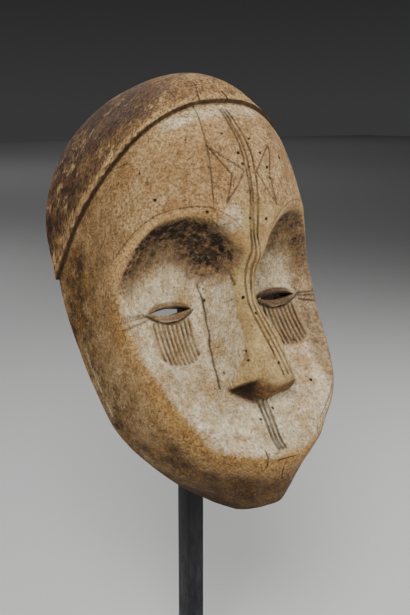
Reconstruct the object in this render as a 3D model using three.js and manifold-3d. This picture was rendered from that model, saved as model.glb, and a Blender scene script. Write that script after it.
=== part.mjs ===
// Ngontang mask, a hollow carved helmet-front of light wood, held on a square steel post.
// Millimetres, +Z up, the face looks towards -Y. The origin is the middle of the foot's underside.
//
// The mask is shaped in an upright frame of its own: x across, f forward and u up from the blunt
// end of the chin. Its mesh holds (x, -f, u), and the mesh is then leaned back over the post.

import * as THREE from 'three';
import { mergeVertices } from 'three/addons/utils/BufferGeometryUtils.js';
import Module from 'manifold-3d';

const wasm = await Module();
wasm.setup();

// Driving dimensions
const MASK_HEIGHT = 350;
const LEAN = THREE.MathUtils.degToRad(15);
const CHIN_ABOVE_TABLE = 225;
const CHIN_BEFORE_POST = 97.5;
const WALL = 10;
const CROWN_START = 223;
const HOOD_STEP = 3;
const HOOD_FRONT = [24, 307];
const HOOD_SLOPE = THREE.MathUtils.degToRad(44.2);
const EYE_CENTRE = [51, 159.5];
const SLIT = { halfLength: 18.5, halfHeight: 2.6 };
const LID = { halfLength: 21, halfHeight: 8, proud: 2.2 };
const MOUTH = { halfLength: 9.7, u: 39.7, halfWidth: 1.8, depth: 2 };
const CORD_HOLE = { u: 79, inFromRim: 6.5, radius: 2.2, fromMiddle: 85, drillLength: 50 };
const POST_SIDE = 16;
const FOOT_SIDE = 160;
const FOOT_THICK = 8;
const KNOB_RADIUS = 12;
const KNOB_TOP = 309;
const ARM_SIDE = 8;
const ARM_ABOVE_CHIN = 34;
const ARM_TIP = 86;
const GAP = 0.3;

const WOOD = { color: 0xb08c5e, roughness: 0.85, metalness: 0 };
const STEEL = { color: 0x2a2a2b, roughness: 0.45, metalness: 1 };

const { clamp, smoothstep } = THREE.MathUtils;

// A smooth curve through a few (place, size) stations that never overshoots them
function through(stations) {
  const at = stations.map((s) => s[0]);
  const size = stations.map((s) => s[1]);
  const last = at.length - 1;
  const rise = at.slice(1).map((a, i) => (size[i + 1] - size[i]) / (a - at[i]));
  const slope = at.map((a, i) => {
    if (i === 0) return rise[0];
    if (i === last) return rise[last - 1];
    if (rise[i - 1] * rise[i] <= 0) return 0;
    return 2 / (1 / rise[i - 1] + 1 / rise[i]);
  });
  return (place) => {
    const q = clamp(place, at[0], at[last]);
    let i = 0;
    while (i < last - 1 && q > at[i + 1]) i += 1;
    const step = at[i + 1] - at[i];
    const t = (q - at[i]) / step;
    const near = (2 * t - 3) * t * t + 1;
    const bend = ((t - 2) * t + 1) * t * slope[i] + (t - 1) * t * t * slope[i + 1];
    return near * size[i] + (1 - near) * size[i + 1] + bend * step;
  };
}

// The lower or the higher of two heights, with the crease between them rounded
function lower(a, b, round) {
  const mix = clamp(0.5 + (0.5 * (b - a)) / round, 0, 1);
  return b + (a - b) * mix - round * mix * (1 - mix);
}
const higher = (a, b, round) => -lower(-a, -b, round);

// The egg that the mask is carved from. At each height u it has a half width, a front and a back
// edge (the rim), and a section between a plain ellipse (2) and a squarer one (3).
const eggSide = through([
  [0, 15], [5, 22], [10, 27.5], [18, 38], [30, 53], [45, 68], [60, 80], [80, 90], [105, 95],
  [130, 98], [175, 100.5], [205, 99], [CROWN_START, 98],
]);
const eggFront = through([
  [0, 3], [5, 20], [14, 28], [27, 34.5], [40, 43.5], [50, 48], [65, 46], [95, 45], [165, 46],
  [200, 47.5], [240, 49.3], [262, 48], [278, 44], [293, 37.5], [308, 28], [325, 16.5],
  [338, -3], [346, -36], [350, -80],
]);
const rim = through([
  [0, -14], [8, -34], [18, -42], [30, -42], [80, -53], [130, -69], [190, -86], [250, -97],
  [300, -94], [350, -80],
]);
const squareness = through([
  [0, 2], [30, 2], [55, 2.3], [75, 2.8], [95, 3], [165, 3], [195, 2.7], [260, 2.45],
  [300, 2.7], [350, 2.3],
]);

// The dome narrows to a point at the top of the rim
function crownTaper(u, height) {
  const t = clamp((u - CROWN_START) / (height - CROWN_START), 0, 1);
  return (1 - t ** 2.1) ** (1 / 1.5);
}
const halfWidth = (u) => eggSide(u) * crownTaper(u, MASK_HEIGHT);

// The carved face: a heart-shaped dish from the mouth ridge up to the two brow arches, with the
// nose standing in it
const dishFloor = through([
  [0, 70], [39.7, 46], [47, 39.5], [54, 34], [69, 29], [83, 22], [92, 16.5], [104, 9],
  [120, 0], [135, -6], [150, -9], [175, -10], [190, -7], [205, 0], [215, 6], [235, 20],
]);
const dishLift = through([
  [0, -20], [47, -14], [54, -12], [69, -2], [86, 4], [111, 8], [127, 6], [160, 2], [230, -6],
]);
const noseRidge = through([
  [60, 90], [97, 58], [103, 56.6], [112, 49.6], [124, 44], [135, 39.5], [151, 30],
  [160, 27.5], [178, 27.4], [189, 31.7], [203, 39.5], [217, 46], [230, 60],
]);
const noseHalfWidth = through([
  [80, 32], [98, 29.5], [107, 27], [126, 22], [146, 17.5], [162, 17.5], [176, 20], [190, 17],
  [205, 14],
]);
const noseFullness = through([
  [95, 2.6], [105, 3], [118, 4.2], [130, 5.5], [142, 5], [152, 3.4], [167, 2.2], [205, 1.8],
]);

// The underside of the nose is one slanting cut on each side, a little crooked across
const NOSE_CUT = { start: -161, steepness: 2.214, spread: 0.757, crooked: 0.18 };
const noseUnderside = (x, u) => NOSE_CUT.start
  + NOSE_CUT.steepness * (u + NOSE_CUT.crooked * x) - NOSE_CUT.spread * Math.abs(x);

// Each brow rises from the nose root to its top and falls to the temple
const BROW_TOP = { side: 53, u: 229 };
const BROW_INNER = { drop: 39, power: 2.3 };
const BROW_OUTER = { drop: 43, reach: 43, power: 2.9 };
function browArch(side) {
  const beyond = side - BROW_TOP.side;
  if (beyond < 0) {
    return BROW_TOP.u - BROW_INNER.drop * (-beyond / BROW_TOP.side) ** BROW_INNER.power;
  }
  return BROW_TOP.u - BROW_OUTER.drop * (beyond / BROW_OUTER.reach) ** BROW_OUTER.power;
}
const BROW_MEAN = 215;
const BROW_REACH = 34;
const BROW_STEEPNESS = 2.6;
const BROW_LIP = { sharpness: 0.4, start: 2, end: 9 };
const TEMPLE_TOP = 190;
const TEMPLE_OPENING = 0.8;
const TEMPLE_ROUND = 12;
const CHEEK_REACH = 80;
const NOSE_BURIED = 6;
const NOSE_TIP_ROUND = 3;
const NOSE_FOOT_ROUND = 5;
const RIDGE_ROUND = 9;

// Carves the egg's front height down to the face at (x, u)
function carve(x, u, egg) {
  const side = Math.abs(x);
  const archSlope = browArch(side + 0.5) - browArch(side - 0.5);
  const belowBrow = (browArch(side) - u) / Math.hypot(1, archSlope);
  const inside = higher(belowBrow, TEMPLE_OPENING * (TEMPLE_TOP - u), TEMPLE_ROUND);
  if (inside <= 0) return egg;
  const floor = dishFloor(u) + dishLift(u) * (side / CHEEK_REACH) ** 2;
  const across = Math.min(side / noseHalfWidth(u), 1.6);
  const noseFoot = floor - NOSE_BURIED;
  const prism = noseFoot + (noseRidge(u) - noseFoot) * (1 - across ** noseFullness(u));
  const nose = lower(prism, noseUnderside(x, u), NOSE_TIP_ROUND);
  const face = lower(egg, higher(floor, nose, NOSE_FOOT_ROUND), RIDGE_ROUND);
  const lip = smoothstep(inside, BROW_LIP.start, BROW_LIP.end);
  const bevelled = inside * (BROW_LIP.sharpness + (1 - BROW_LIP.sharpness) * lip);
  const depth = 1 - (1 - clamp(bevelled / BROW_REACH, 0, 1)) ** BROW_STEEPNESS;
  return egg + (face - egg) * depth;
}

// The point of a level section at a turn from the middle of the front (0) to the rim (90 degrees)
function sectionPoint(turn, half, front, back, square) {
  const s = Math.abs(Math.sin(turn));
  const c = Math.abs(Math.cos(turn));
  const reach = (s ** square + c ** square) ** (-1 / square);
  return [half * Math.sin(turn) * reach, back + (front - back) * c * reach];
}

// The finished front surface at (x, u), without the lids
function surface(x, u) {
  const share = Math.abs(x) / halfWidth(u);
  const round = (1 - share ** squareness(u)) ** (1 / squareness(u));
  return carve(x, u, rim(u) + (eggFront(u) - rim(u)) * round);
}
const onFace = (x, u, proud = 0) => [x, -surface(x, u) - proud, u];

// A closed mesh as a solid that can be joined and cut
function solid(geometry) {
  const bare = geometry.clone();
  bare.deleteAttribute('normal');
  bare.deleteAttribute('uv');
  const merged = mergeVertices(bare, 1e-4);
  const index = merged.getIndex().array;
  const places = merged.getAttribute('position');
  const corner = [0, 1, 2].map(() => new THREE.Vector3());
  const kept = [];
  let volume = 0;
  for (let i = 0; i < index.length; i += 3) {
    const face = index.slice(i, i + 3);
    if (new Set(face).size === 3) {
      face.forEach((v, k) => corner[k].fromBufferAttribute(places, v));
      volume += corner[0].dot(corner[1].cross(corner[2]));
      kept.push(...face);
    }
  }
  if (volume < 0) kept.reverse();
  return new wasm.Manifold(new wasm.Mesh({
    numProp: 3,
    vertProperties: new Float32Array(places.array),
    triVerts: new Uint32Array(kept),
  }));
}

function geometryOf(body) {
  const mesh = body.getMesh();
  const geometry = new THREE.BufferGeometry();
  geometry.setAttribute('position', new THREE.BufferAttribute(mesh.vertProperties, 3));
  geometry.setIndex(new THREE.BufferAttribute(mesh.triVerts, 1));
  return geometry;
}

// A closed solid from rings of equal length, its two ends closed by fans
function loft(rings) {
  const count = rings[0].length;
  const points = rings.flat();
  const faces = [];
  for (let r = 0; r < rings.length - 1; r += 1) {
    for (let i = 0; i < count; i += 1) {
      const a = r * count + i;
      const b = r * count + ((i + 1) % count);
      faces.push(a, b, b + count, a, b + count, a + count);
    }
  }
  const closeEnd = (first, outwards) => {
    const ring = points.slice(first, first + count);
    const middle = points.length;
    points.push([0, 1, 2].map((k) => ring.reduce((sum, p) => sum + p[k], 0) / count));
    for (let i = 0; i < count; i += 1) {
      const a = first + i;
      const b = first + ((i + 1) % count);
      faces.push(middle, outwards ? a : b, outwards ? b : a);
    }
  };
  closeEnd(0, false);
  closeEnd((rings.length - 1) * count, true);
  const geometry = new THREE.BufferGeometry();
  geometry.setAttribute('position', new THREE.Float32BufferAttribute(points.flat(), 3));
  geometry.setIndex(faces);
  return solid(geometry);
}

// Levels between two heights
const levels = (from, to, count, easing = (t) => t) =>
  Array.from({ length: count }, (_, i) => from + (to - from) * easing(i / count));
const slowStart = (t) => t * (0.4 + 0.6 * t);
const slowEnd = (t) => Math.sin((t * Math.PI) / 2);

// Columns run from the left rim round the front to the right rim. The middle ones follow the foot
// of the nose, and the rest are closest near the front.
const COLUMNS = 46;
const NOSE_COLUMNS = 6;
function columnTurn(column, level) {
  const place = Math.abs(column - COLUMNS / 2);
  const noseTurn = Math.atan(noseHalfWidth(level) / eggSide(level));
  const beyond = (place - NOSE_COLUMNS) / (COLUMNS / 2 - NOSE_COLUMNS);
  const turn = beyond < 0
    ? noseTurn * (place / NOSE_COLUMNS)
    : noseTurn + (Math.PI / 2 - noseTurn) * beyond * (0.72 + 0.28 * beyond);
  return turn * Math.sign(column - COLUMNS / 2);
}

// How far a level bends up or down at x: near the mouth along the ridge of the jaw, round the nose
// with the edges of its underside, and near the brows along both arches
const NOSE_LOW = 83;
const NOSE_HIGH = 99;
const NOSE_CORNER = 31;
const NOSE_FAN = { low: 0.28, drop: 0.41 };
const jawRise = through([[0, 0], [24, 5], [38, 11], [50, 19], [62, 28], [72, 30]]);
function bend(level, x) {
  const side = Math.abs(x);
  const jaw = smoothstep(level, 8, 42) * (1 - smoothstep(level, 58, 112));
  const nose = smoothstep(level, 55, NOSE_LOW) * (1 - smoothstep(level, NOSE_HIGH, 130))
    * (1 - smoothstep(side, NOSE_CORNER, 62));
  const between = clamp((level - NOSE_LOW) / (NOSE_HIGH - NOSE_LOW), 0, 1);
  const fan = (NOSE_FAN.low - NOSE_FAN.drop * between) * Math.min(side, NOSE_CORNER);
  const brow = level < BROW_MEAN ? smoothstep(level, 115, 200) : 1 - smoothstep(level, 230, 300);
  return jaw * jawRise(side) + nose * (fan - NOSE_CUT.crooked * x)
    + brow * (browArch(side) - BROW_MEAN);
}
function bentHeight(level, turn) {
  let u = level;
  for (let pass = 0; pass < 4; pass += 1) {
    u = level + bend(level, sectionPoint(turn, halfWidth(u), 1, 0, squareness(u))[0]);
  }
  return u;
}

function eggPoint(level, column) {
  const turn = columnTurn(column, level);
  const u = bentHeight(level, turn);
  const front = Math.max(eggFront(u), rim(u));
  return [...sectionPoint(turn, halfWidth(u), front, rim(u), squareness(u)), u];
}

const columns = Array.from({ length: COLUMNS + 1 }, (_, i) => i);
const carvedBody = loft([
  ...levels(0, 80, 12, slowStart),
  ...levels(80, 104, 8),
  ...levels(104, BROW_MEAN, 18),
  ...levels(BROW_MEAN, 245, 6),
  ...levels(245, MASK_HEIGHT, 12, slowEnd),
  MASK_HEIGHT,
].map((level) => columns.map((column) => {
  const [x, egg, u] = eggPoint(level, column);
  return [x, -carve(x, u, egg), u];
})));

// The hood is the dome grown outwards, kept behind and above a slanting plane
const DOME = { side: 98, front: 140, top: 125 };
function grownPoint(level, column) {
  const [x, f, u] = eggPoint(level, column);
  const back = rim(u);
  const above = Math.max(u - CROWN_START, 0);
  const out = new THREE.Vector3(
    x / DOME.side ** 2, (f - back) / DOME.front ** 2, above / DOME.top ** 2);
  if (out.length() === 0) out.set(0, 0, 1);
  out.setLength(HOOD_STEP);
  return [x + out.x, -f - out.y, u + out.z];
}
const grownDome = loft([
  ...levels(165, 245, 8),
  ...levels(245, MASK_HEIGHT, 12, slowEnd),
  MASK_HEIGHT,
].map((level) => columns.map((column) => grownPoint(level, column))));

const BLOCK = 400;
const hoodBlock = new THREE.BoxGeometry(BLOCK, BLOCK, BLOCK);
hoodBlock.translate(0, 0, BLOCK / 2);
hoodBlock.rotateX(-HOOD_SLOPE);
hoodBlock.translate(0, -HOOD_FRONT[0], HOOD_FRONT[1]);
const hood = grownDome.intersect(solid(hoodBlock));

// The hollow follows the outside at the wall's thickness, and runs out behind the rim
const hollowSide = through([
  [14, 5], [18, 18], [30, 40], [45, 56], [60, 69], [80, 79.5], [105, 85], [130, 88],
  [175, 90.5], [205, 89], [CROWN_START, 88],
]);
const hollowFront = through([
  [14, -38], [20, -20], [30, -4], [45, 12], [60, 18], [80, 10], [105, -6], [130, -15],
  [175, -20], [200, -14], [218, 2], [235, 20], [250, 33], [262, 37], [291, 27], [307, 17],
  [325, 2], [335, -22], [340, -60],
]);
const HOLLOW_COLUMNS = 26;
const hollow = loft([
  ...levels(14, 84, 8, slowStart),
  ...levels(84, 245, 16),
  ...levels(245, MASK_HEIGHT - WALL, 8, slowEnd),
  MASK_HEIGHT - WALL,
].map((u) => {
  const half = Math.max(hollowSide(u) * crownTaper(u, MASK_HEIGHT - WALL), 3);
  const square = 2.4 + 2 * (1 - smoothstep(u, 200, 250));
  const arc = Array.from({ length: HOLLOW_COLUMNS + 1 }, (_, i) => {
    const turn = ((2 * i) / HOLLOW_COLUMNS - 1) * (Math.PI / 2);
    const [x, f] = sectionPoint(turn, half, hollowFront(u), rim(u), square);
    return [x, -f, u];
  });
  const behind = WALL * 2 - rim(u);
  return [[-half, behind, u], ...arc, [half, behind, u]];
}));

// An almond outline round an eye's centre
function almond(side, halfLength, halfHeight, down = 0) {
  return Array.from({ length: 16 }, (_, i) => {
    const a = (i / 16) * Math.PI * 2;
    const bulge = Math.sin(a) * Math.abs(Math.sin(a));
    return [side * EYE_CENTRE[0] + halfLength * Math.cos(a), EYE_CENTRE[1] - down + halfHeight * bulge];
  });
}

function eyelids(side) {
  const foot = almond(side, LID.halfLength, LID.halfHeight, 1);
  const crest = almond(side, LID.halfLength - 2, LID.halfHeight - 3.5, 0.5);
  return loft([
    foot.map(([x, u]) => onFace(x, u, -4)),
    foot.map(([x, u]) => onFace(x, u, 0.4)),
    crest.map(([x, u]) => onFace(x, u, LID.proud)),
  ]);
}

function eyeSlit(side) {
  const outline = almond(side, SLIT.halfLength, SLIT.halfHeight);
  return loft([
    outline.map(([x, u]) => [x, 60, u]),
    outline.map(([x, u]) => [x, -30, u]),
  ]);
}

// A V-shaped stroke cut along points (x, u) of the face
function stroke(path, width, depth) {
  const places = path.map(([x, u]) => new THREE.Vector3(...onFace(x, u)));
  return loft(places.map((place, i) => {
    const [x, u] = path[i];
    const across = new THREE.Vector3(...onFace(x + 1, u)).sub(new THREE.Vector3(...onFace(x - 1, u)));
    const upwards = new THREE.Vector3(...onFace(x, u + 1)).sub(new THREE.Vector3(...onFace(x, u - 1)));
    const out = across.cross(upwards).normalize();
    const along = places[Math.min(i + 1, places.length - 1)].clone().sub(places[Math.max(i - 1, 0)]);
    const beside = along.cross(out).setLength(width);
    const top = place.clone().addScaledVector(out, depth);
    const bottom = place.clone().addScaledVector(out, -depth);
    return [bottom, top.clone().add(beside), top.clone().sub(beside)].map((p) => p.toArray());
  }));
}

const mouth = stroke(levels(-MOUTH.halfLength, MOUTH.halfLength, 4)
  .concat(MOUTH.halfLength).map((x) => [x, MOUTH.u]), MOUTH.halfWidth, MOUTH.depth);

let maskBody = carvedBody.add(hood).subtract(hollow);
for (const side of [-1, 1]) {
  maskBody = maskBody.add(eyelids(side)).subtract(eyeSlit(side));
}
maskBody = maskBody.subtract(mouth);

// The cord hole, drilled sideways through the left jaw near the rim
const drill = new THREE.CylinderGeometry(
  CORD_HOLE.radius, CORD_HOLE.radius, CORD_HOLE.drillLength, 10);
drill.rotateZ(Math.PI / 2);
drill.translate(-CORD_HOLE.fromMiddle, -rim(CORD_HOLE.u) - CORD_HOLE.inFromRim, CORD_HOLE.u);
maskBody = maskBody.subtract(solid(drill));

const mask = new THREE.Mesh(geometryOf(maskBody), new THREE.MeshStandardMaterial(WOOD));
mask.name = 'mask';
mask.position.set(0, -CHIN_BEFORE_POST, CHIN_ABOVE_TABLE);
mask.rotation.x = -LEAN;

// The stand: a square foot plate, a square post, a round knob under the crown and a short arm
// behind the chin
function piece(name, geometry, x, y, z) {
  const mesh = new THREE.Mesh(geometry, new THREE.MeshStandardMaterial(STEEL));
  mesh.name = name;
  mesh.position.set(x, y, z);
  return mesh;
}
const postTop = CHIN_ABOVE_TABLE + KNOB_TOP - KNOB_RADIUS - GAP;
const postHeight = postTop - FOOT_THICK - GAP;
const armLength = ARM_TIP - POST_SIDE / 2 - GAP;
const knobProfile = [
  new THREE.Vector2(0, 0),
  ...Array.from({ length: 8 }, (_, i) => {
    const a = (i / 7) * (Math.PI / 2);
    return new THREE.Vector2(KNOB_RADIUS * Math.cos(a), KNOB_RADIUS * Math.sin(a));
  }),
];
const knob = new THREE.LatheGeometry(knobProfile, 24);
knob.rotateX(Math.PI / 2);

const ngontang = new THREE.Group();
ngontang.name = 'ngontang_mask';
ngontang.add(
  mask,
  piece('stand_foot', new THREE.BoxGeometry(FOOT_SIDE, FOOT_SIDE, FOOT_THICK), 0, 0, FOOT_THICK / 2),
  piece('stand_post', new THREE.BoxGeometry(POST_SIDE, POST_SIDE, postHeight), 0, 0,
    postTop - postHeight / 2),
  piece('crown_knob', knob, 0, 0, postTop + GAP),
  piece('chin_arm', new THREE.BoxGeometry(ARM_SIDE, armLength, ARM_SIDE), 0,
    -POST_SIDE / 2 - GAP - armLength / 2, CHIN_ABOVE_TABLE + ARM_ABOVE_CHIN),
);

export default ngontang;
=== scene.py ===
"""A ngontang mask, carved in light wood, on its display post. Metres, +Z up, the face towards -Y.

The mask is shaped in an upright frame of its own, in millimetres: x across, f forward and u up from
the blunt end of the chin. It then leans back over the post.
"""

import math

import bmesh
import bpy
import numpy as np
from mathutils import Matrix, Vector
from mathutils.kdtree import KDTree


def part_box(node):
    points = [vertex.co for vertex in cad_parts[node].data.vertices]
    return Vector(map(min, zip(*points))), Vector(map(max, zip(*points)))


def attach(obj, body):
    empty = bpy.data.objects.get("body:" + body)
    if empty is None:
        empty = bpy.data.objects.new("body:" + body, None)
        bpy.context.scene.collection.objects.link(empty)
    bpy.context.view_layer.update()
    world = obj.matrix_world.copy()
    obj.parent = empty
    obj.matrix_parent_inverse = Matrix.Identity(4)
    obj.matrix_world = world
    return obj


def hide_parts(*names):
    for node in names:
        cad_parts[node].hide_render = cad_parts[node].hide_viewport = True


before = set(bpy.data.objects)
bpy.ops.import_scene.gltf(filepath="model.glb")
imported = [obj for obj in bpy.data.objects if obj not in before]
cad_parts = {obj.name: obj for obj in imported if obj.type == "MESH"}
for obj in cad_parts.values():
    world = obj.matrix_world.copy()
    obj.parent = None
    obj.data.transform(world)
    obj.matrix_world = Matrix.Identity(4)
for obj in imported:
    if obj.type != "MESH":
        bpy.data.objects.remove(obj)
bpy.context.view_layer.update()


# The mask's outside
# One block of light wood. From the front it is an egg, widest under the brow, blunt at the chin and
# flattened on the cheeks. It leans back over the post, with its chin well above the table.
MASK_HEIGHT = 350
CROWN_START = 223
LEAN = math.radians(15)
CHIN_HEIGHT = 225
CHIN_FORWARD = 97.5


def through(stations):
    """A smooth curve through a few (place, size) stations that never overshoots them."""
    at = np.array([s[0] for s in stations], float)
    size = np.array([s[1] for s in stations], float)
    step = np.diff(at)
    rise = np.diff(size) / step
    slope = np.zeros(len(at))
    slope[0], slope[-1] = rise[0], rise[-1]
    for i in range(1, len(at) - 1):
        if rise[i - 1] * rise[i] > 0:
            slope[i] = 2 / (1 / rise[i - 1] + 1 / rise[i])

    def curve(place):
        q = np.clip(np.asarray(place, float), at[0], at[-1])
        i = np.clip(np.searchsorted(at, q, side="right") - 1, 0, len(at) - 2)
        t = (q - at[i]) / step[i]
        near = (2 * t - 3) * t * t + 1
        bend = ((t - 2) * t + 1) * t * slope[i] + (t - 1) * t * t * slope[i + 1]
        return near * size[i] + (1 - near) * size[i + 1] + bend * step[i]
    return curve


def smooth(value, start, end):
    """0 up to the start and 1 from the end on, with a soft rise between them."""
    t = np.clip((np.asarray(value, float) - start) / (end - start), 0, 1)
    return t * t * (3 - 2 * t)


def lower(a, b, rounding):
    """The lower of two surfaces, with the edge where they meet rounded off."""
    mix = np.clip(0.5 + 0.5 * (b - a) / rounding, 0, 1)
    return b + (a - b) * mix - rounding * mix * (1 - mix)


def higher(a, b, rounding):
    """The higher of two surfaces, with the corner where they meet filled."""
    return -lower(-a, -b, rounding)


egg_side = through([
    (0, 15), (5, 22), (10, 27.5), (18, 38), (30, 53), (45, 68), (60, 80), (80, 90), (105, 95),
    (130, 98), (175, 100.5), (205, 99), (CROWN_START, 98),
])
egg_front = through([
    (0, 3), (5, 20), (14, 28), (27, 34.5), (40, 43.5), (50, 48), (65, 46), (95, 45), (165, 46),
    (200, 47.5), (240, 49.3), (262, 48), (278, 44), (293, 37.5), (308, 28), (325, 16.5),
    (338, -3), (346, -36), (350, -80),
])
rim = through([
    (0, -14), (8, -34), (18, -42), (30, -42), (80, -53), (130, -69), (190, -86), (250, -97),
    (300, -94), (350, -80),
])
squareness = through([
    (0, 2), (30, 2), (55, 2.3), (75, 2.8), (95, 3), (165, 3), (195, 2.7), (260, 2.45),
    (300, 2.7), (350, 2.3),
])


def crown_taper(u, height):
    """How the width rounds off towards the top of the crown."""
    t = np.clip((u - CROWN_START) / (height - CROWN_START), 0, 1)
    return (1 - t ** 2.1) ** (1 / 1.5)


def half_width(u):
    return egg_side(u) * crown_taper(u, MASK_HEIGHT)


def section_point(turn, half, front, back, square):
    """A point of a level section with rounded corners: turn 0 is the middle of its front."""
    s = np.abs(np.sin(turn))
    c = np.abs(np.cos(turn))
    reach = (s ** square + c ** square) ** (-1 / square)
    return half * np.sin(turn) * reach, back + (front - back) * c * reach


def egg_height(x, u):
    """How far forward the plain egg stands."""
    share = np.clip(np.abs(x) / np.maximum(half_width(u), 1e-3), 0, 1)
    square = squareness(u)
    return rim(u) + (egg_front(u) - rim(u)) * (1 - share ** square) ** (1 / square)


def standing(x, f, u):
    """Points of the mask's own frame, in mm, as points in the row's frame, in metres."""
    x, f, u = np.broadcast_arrays(x, f, u)
    y = -f * math.cos(LEAN) + u * math.sin(LEAN) - CHIN_FORWARD
    z = f * math.sin(LEAN) + u * math.cos(LEAN) + CHIN_HEIGHT
    return np.stack([x, y, z], -1) / 1000


# The sunk face
# It is cut back under two brow arches into a heart-shaped dish. The long nose stays standing in
# it, with a crooked slanting underside, and the jaw rises again below.
BROW_HEIGHT = 229
BROW_PEAK = 53
NOSE_FOOT = 6
NOSE_SKEW = 0.18

dish_floor = through([
    (0, 70), (39.7, 46), (47, 39.5), (54, 34), (69, 29), (83, 22), (92, 16.5), (104, 9),
    (120, 0), (135, -6), (150, -9), (175, -10), (190, -7), (205, 0), (215, 6), (235, 20),
])
dish_lift = through([
    (0, -20), (47, -14), (54, -12), (69, -2), (86, 4), (111, 8), (127, 6), (160, 2), (230, -6),
])
nose_ridge = through([
    (60, 90), (97, 58), (103, 56.6), (112, 49.6), (124, 44), (135, 39.5), (151, 30),
    (160, 27.5), (178, 27.4), (189, 31.7), (203, 39.5), (217, 46), (230, 60),
])
nose_half_width = through([
    (80, 32), (98, 29.5), (107, 27), (126, 22), (146, 17.5), (162, 17.5), (176, 20), (190, 17),
    (205, 14),
])
nose_fullness = through([
    (95, 2.6), (105, 3), (118, 4.2), (130, 5.5), (142, 5), (152, 3.4), (167, 2.2), (205, 1.8),
])


def brow_arch(side):
    """The height of a brow's edge, rounder towards the temple than towards the nose."""
    beyond = side - BROW_PEAK
    rising = 39 * (np.maximum(-beyond, 0) / BROW_PEAK) ** 2.3
    falling = 43 * (np.maximum(beyond, 0) / 43) ** 2.9
    return BROW_HEIGHT - rising - falling


def below_brow(x, u):
    """How far a point lies below the brow's edge, square to it, in mm."""
    side = np.abs(x)
    slope = brow_arch(side + 0.5) - brow_arch(side - 0.5)
    return (brow_arch(side) - u) / np.hypot(1, slope)


def dish(x, u):
    """The bottom of the dish, without the nose."""
    return dish_floor(u) + dish_lift(u) * (np.abs(x) / 80) ** 2


def nose_body(x, u, foot):
    """The nose before its underside is cut, standing on its foot."""
    across = np.minimum(np.abs(x) / nose_half_width(u), 1.6)
    return foot + (nose_ridge(u) - foot) * (1 - across ** nose_fullness(u))


def nose_underside(x, u):
    """The slanting plane that ends the nose, folded along its middle and a little crooked."""
    return -161 + 2.214 * (u + NOSE_SKEW * x) - 0.757 * np.abs(x)


def carve(x, u, egg):
    """The egg's surface with the face sunk into it."""
    inside = higher(below_brow(x, u), 0.8 * (190 - u), 12)
    bottom = dish(x, u)
    nose = lower(nose_body(x, u, bottom - NOSE_FOOT), nose_underside(x, u), 3)
    face = lower(egg, higher(bottom, nose, 5), 9)
    bevelled = np.maximum(inside, 0) * (0.4 + 0.6 * smooth(inside, 2, 9))
    depth = 1 - (1 - np.clip(bevelled / 34, 0, 1)) ** 2.6
    return np.where(inside <= 0, egg, egg + (face - egg) * depth)


def surface(x, u):
    """How far forward the carved mask stands."""
    return carve(x, u, egg_height(x, u))


# The carved block's mesh
# Its rows bend along the jaw, the nose's underside and the brows, so that those edges come out
# clean. Rows and columns are closest where the cheeks and the brow are incised.
# Each pair says up to which x a column, or up to which level a row, has which size in mm.
COLUMN_WIDTHS = ((13, 0.62), (33, 0.95), (72, 0.72), (math.inf, 1.5))
ROW_HEIGHTS = ((116, 1.6), (164, 0.95), (224, 1.6), (276, 1.2), (math.inf, 1.6))
BROW_ROW = 215
jaw_rise = through([(0, 0), (24, 5), (38, 11), (50, 19), (62, 28), (72, 30)])


def bend(level, x):
    """How far a row is pushed up from its level."""
    side = np.abs(x)
    jaw = smooth(level, 8, 42) * (1 - smooth(level, 58, 112))
    nose = smooth(level, 55, 83) * (1 - smooth(level, 99, 130)) * (1 - smooth(side, 31, 62))
    fan = (0.28 - 0.41 * np.clip((level - 83) / 16, 0, 1)) * np.minimum(side, 31)
    brow = np.where(level < BROW_ROW, smooth(level, 115, 200), 1 - smooth(level, 230, 300))
    return (jaw * jaw_rise(side) + nose * (fan - NOSE_SKEW * x)
            + brow * (brow_arch(side) - BROW_ROW))


def mask_grid(levels, turns):
    """The egg's points at a grid of levels and turns, as x, egg front and u."""
    level, turn = np.meshgrid(levels, turns, indexing="ij")
    u = level.copy()
    for _ in range(4):
        x = section_point(turn, half_width(u), 1, 0, squareness(u))[0]
        u = level + bend(level, x)
    u = np.clip(u, 0, MASK_HEIGHT)
    front = np.maximum(egg_front(u), rim(u))
    x, egg = section_point(turn, half_width(u), front, rim(u), squareness(u))
    return x, egg, u


def object_from(name, points, faces):
    """A mesh object from points in metres and faces, with its normals pointing out."""
    mesh = bpy.data.meshes.new(name)
    mesh.from_pydata([tuple(p) for p in points], [], faces)
    made = bpy.data.objects.new(name, mesh)
    bpy.context.scene.collection.objects.link(made)
    body = bmesh.new()
    body.from_mesh(mesh)
    bmesh.ops.remove_doubles(body, verts=body.verts, dist=2e-7)
    bmesh.ops.recalc_face_normals(body, faces=body.faces)
    body.to_mesh(mesh)
    body.free()
    return made


def lofted(name, grid):
    """A closed object over a grid of rings, its two ends closed by fans."""
    rows, count = grid.shape[:2]
    points = list(grid.reshape(-1, 3))
    faces = []
    for r in range(rows - 1):
        for i in range(count):
            j = (i + 1) % count
            faces.append((r * count + i, r * count + j, (r + 1) * count + j, (r + 1) * count + i))
    for first in (0, (rows - 1) * count):
        points.append(grid.reshape(-1, 3)[first:first + count].mean(axis=0))
        middle = len(points) - 1
        faces += [(middle, first + i, first + (i + 1) % count) for i in range(count)]
    return object_from(name, points, faces)


def stepped(places, step_at):
    """Places from the first to the last, each one step further on."""
    made = [places[0]]
    while made[-1] < places[1]:
        made.append(made[-1] + step_at(made[-1]))
    made[-1] = places[1]
    return np.array(made)


def turn_step(turn):
    """The turn from one column to the next."""
    here, nearby = [float(section_point(t, 98, 1, 0, 2.8)[0]) for t in (turn, turn + 1e-3)]
    width = next(width for end, width in COLUMN_WIDTHS if here < end)
    return min(width / max((nearby - here) / 1e-3, 1), 0.03)


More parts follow.
